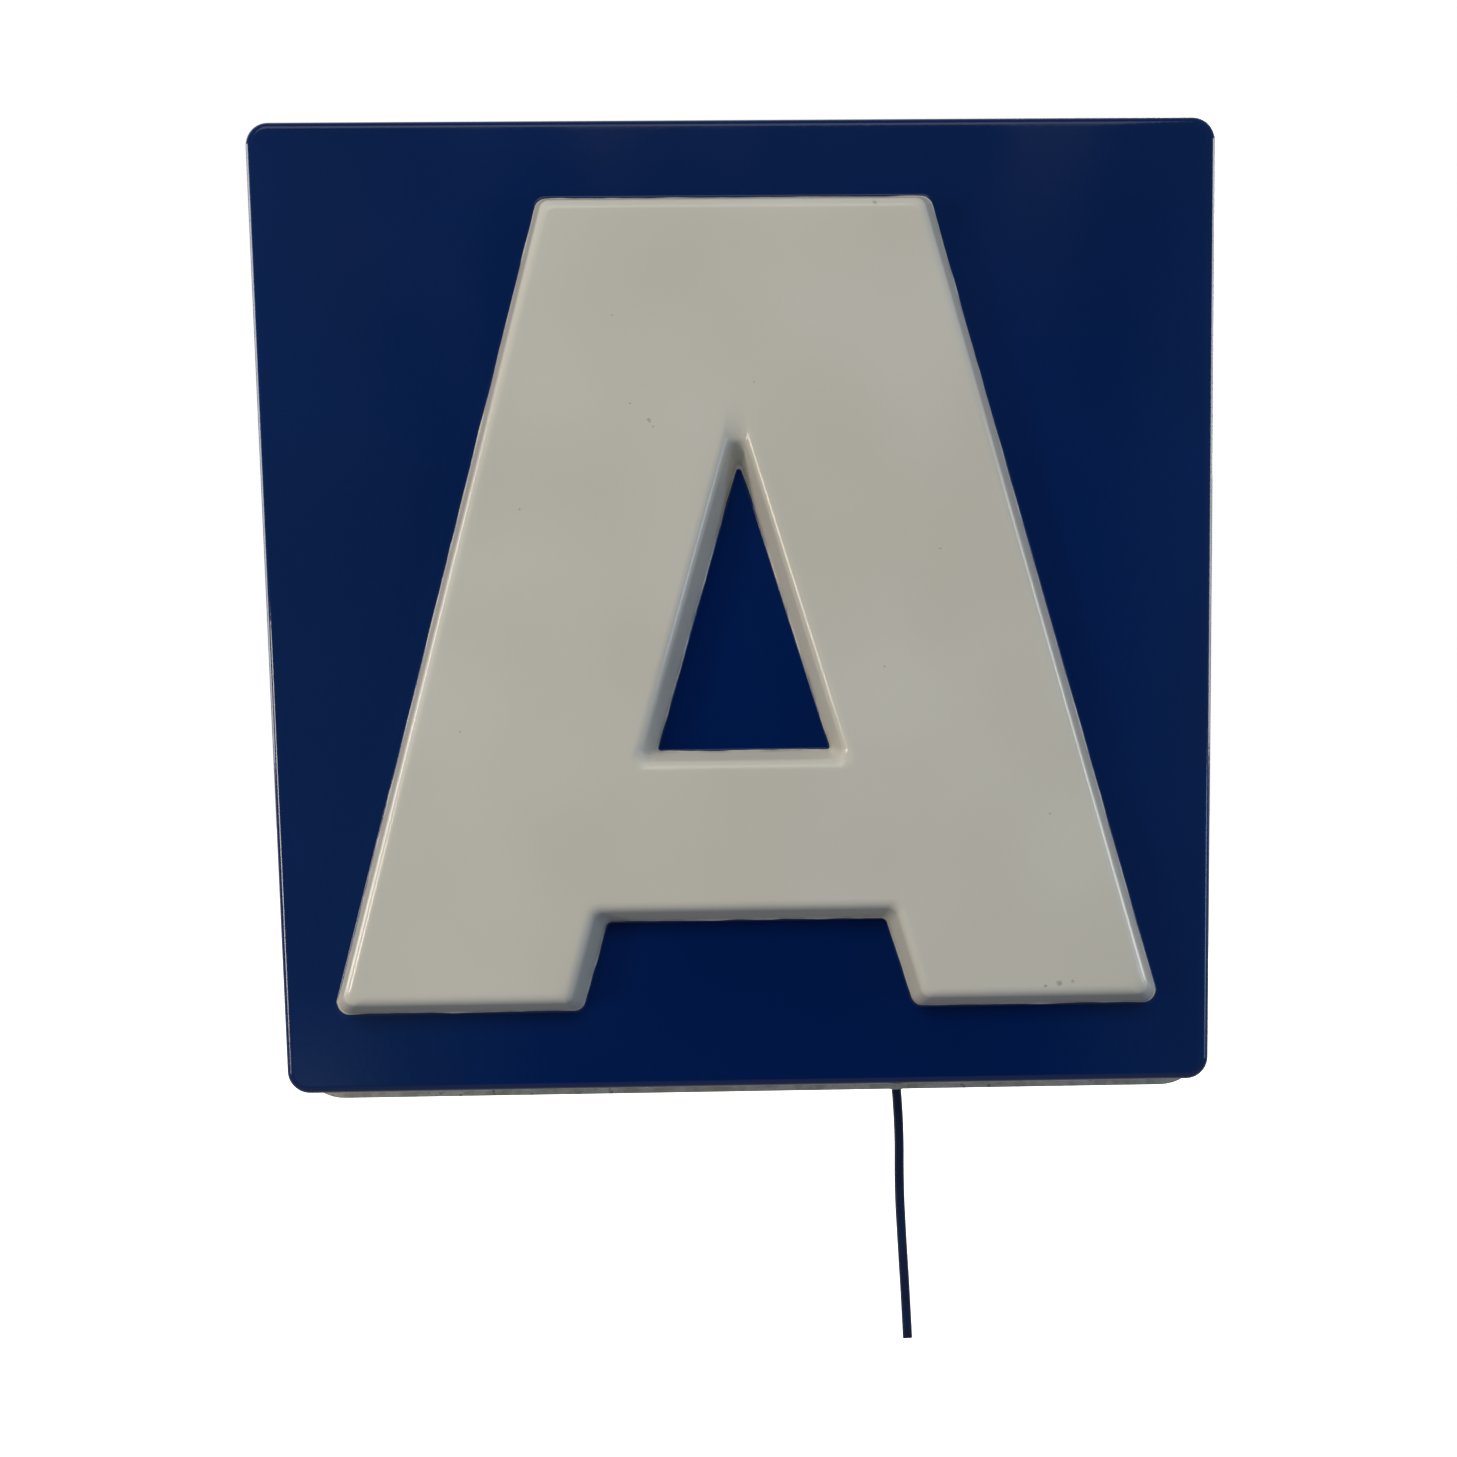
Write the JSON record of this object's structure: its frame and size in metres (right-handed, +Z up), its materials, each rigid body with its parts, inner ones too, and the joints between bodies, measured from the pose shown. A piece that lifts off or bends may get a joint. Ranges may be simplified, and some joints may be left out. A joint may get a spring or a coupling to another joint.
{
  "type": "illuminated letter sign",
  "caption": "Square wall-mounted illuminated sign: a formed acrylic cover with a raised block letter, over a steel back box with lamp tubes and their gear.",
  "frame": {"origin": "on the wall plane, at the centre of the four wall screws", "axes": "+Z up, +X to the viewer's right, +Y into the wall, so the letter faces -Y"},
  "size_m": [0.5306, 0.104, 0.6913],
  "materials": {
    "lacquered_acrylic": "opal white acrylic, lacquered blue outside except on the letter, which stays off-white",
    "foam": "closed-cell foam strip",
    "mill_aluminium": "mill finish, dulled by weather",
    "zinc_screws": "zinc plated",
    "white_painted_steel": "semi-gloss white stove enamel",
    "white_moulding": "moulded white, slightly yellowed",
    "brass": "bright brass",
    "ballast_case": "grey dipped varnish over laminated steel",
    "aluminium_can": "drawn aluminium",
    "coated_glass": "glass tube with a white phosphor coat inside",
    "cathode_metal": "plain nickel and glass mount",
    "wire_pvc": "white insulated wire",
    "grey_pvc": "soft grey moulded plastic",
    "dark_pvc": "smooth dark sheath",
    "copper": "bare copper strands"
  },
  "bodies": {
    "back_box": {"back_pan": "white_painted_steel", "ballast_left": "ballast_case", "ballast_right": "ballast_case", "ballast_screws": "zinc_screws", "ballast_terminals": "white_moulding", "cord_bush": "grey_pvc", "cord_clamp": "white_moulding", "cord_clamp_screws": "zinc_screws", "cord_cut_end": "copper", "flange_nuts": "zinc_screws", "gear_tray": "white_painted_steel", "holder_contacts": "brass", "holder_rail_bottom": "white_painted_steel", "holder_rail_top": "white_painted_steel", "holder_screws": "zinc_screws", "inner_lead": "dark_pvc", "lamp_wires_left": "wire_pvc", "lamp_wires_right": "wire_pvc", "lampholder_bottom_left": "white_moulding", "lampholder_bottom_right": "white_moulding", "lampholder_top_left": "white_moulding", "lampholder_top_right": "white_moulding", "lead_cores": "wire_pvc", "mains_cord": "dark_pvc", "socket_screws": "zinc_screws", "starter_socket_left": "white_moulding", "starter_socket_right": "white_moulding", "supply_wires": "wire_pvc", "terminal_block": "white_moulding", "terminal_inserts": "brass", "terminal_screws": "zinc_screws"},
    "face_cover": {"face_shell": "lacquered_acrylic", "gasket_strips": "foam", "retainer_top": "mill_aluminium", "retainer_bottom": "mill_aluminium", "retainer_left": "mill_aluminium", "retainer_right": "mill_aluminium", "retainer_corners": "mill_aluminium", "retainer_screws": "zinc_screws"},
    "tube_left": {"tube_glass_left": "coated_glass", "tube_caps_left": "aluminium_can", "tube_pins_left": "brass", "tube_cathodes_left": "cathode_metal"},
    "starter_left": {"starter_can_left": "aluminium_can", "starter_base_left": "white_moulding", "starter_pins_left": "brass"},
    "tube_right": {"tube_glass_right": "coated_glass", "tube_caps_right": "aluminium_can", "tube_pins_right": "brass", "tube_cathodes_right": "cathode_metal"},
    "starter_right": {"starter_can_right": "aluminium_can", "starter_base_right": "white_moulding", "starter_pins_right": "brass"}
  },
  "joints": [
    {"name": "face_off", "type": "slide", "parent": "back_box", "child": "face_cover", "axis": [0, -1, 0], "range_m": [0, 0.1]},
    {"name": "tube_left_turn", "type": "hinge", "parent": "back_box", "child": "tube_left", "pos_m": [-0.115, -0.046, 0], "axis": [0, 0, 1], "range_deg": [0, 90]},
    {"name": "tube_right_turn", "type": "hinge", "parent": "back_box", "child": "tube_right", "pos_m": [0.115, -0.046, 0], "axis": [0, 0, 1], "range_deg": [0, 90]},
    {"name": "starter_left_turn", "type": "hinge", "parent": "back_box", "child": "starter_left", "pos_m": [-0.038, -0.03, 0.096], "axis": [0, -1, 0], "range_deg": [0, 45]},
    {"name": "starter_right_turn", "type": "hinge", "parent": "back_box", "child": "starter_right", "pos_m": [0.038, -0.03, 0.096], "axis": [0, -1, 0], "range_deg": [0, 45]}
  ]
}
